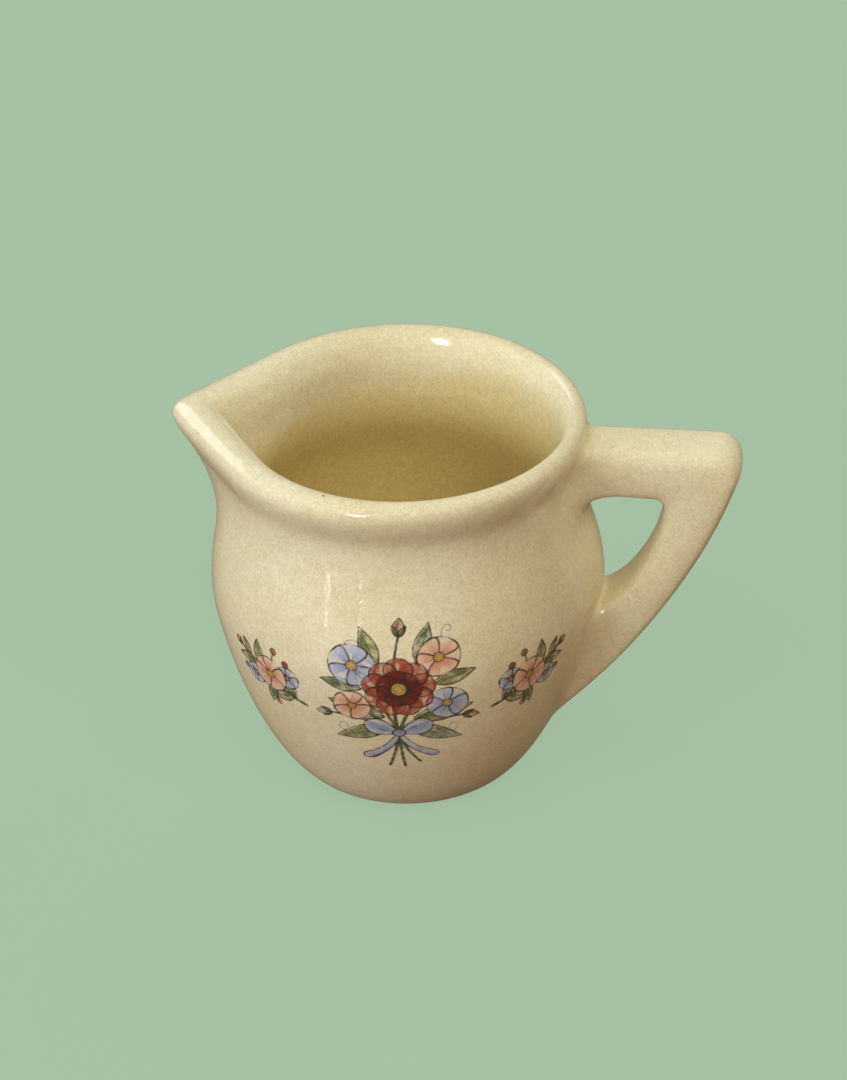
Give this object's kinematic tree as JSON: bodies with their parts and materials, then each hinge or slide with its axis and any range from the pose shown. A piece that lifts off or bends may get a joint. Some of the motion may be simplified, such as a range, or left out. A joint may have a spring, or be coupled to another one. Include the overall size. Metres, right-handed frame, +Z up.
{
  "type": "milk jug",
  "caption": "Small round earthenware milk jug with a pinched pouring spout, a rolled lip, an angular luted handle and a printed flower posy on the belly.",
  "frame": {"origin": "centre of the flat foot, on the table that the jug stands on", "axes": "+Z up, +X towards the handle, the spout towards -X, the printed side towards -Y"},
  "size_m": [0.0923, 0.065, 0.065],
  "materials": {
    "glazed_body": "cream clear-glazed earthenware, glossy, dry unglazed foot",
    "glazed_handle": "cream clear-glazed earthenware, glossy",
    "glazed_slip": "slip joint under the same cream glaze, glossy",
    "posy_print": "printed under the glaze, rust red, pale blue and green, glossy",
    "sprig_print": "printed under the glaze, green and salmon, glossy"
  },
  "bodies": {
    "root": {"body": "glazed_body", "handle": "glazed_handle", "upper_luting": "glazed_slip", "lower_luting": "glazed_slip", "posy_transfer": "posy_print", "spout_side_sprig_transfer": "sprig_print", "handle_side_sprig_transfer": "sprig_print"}
  },
  "joints": []
}
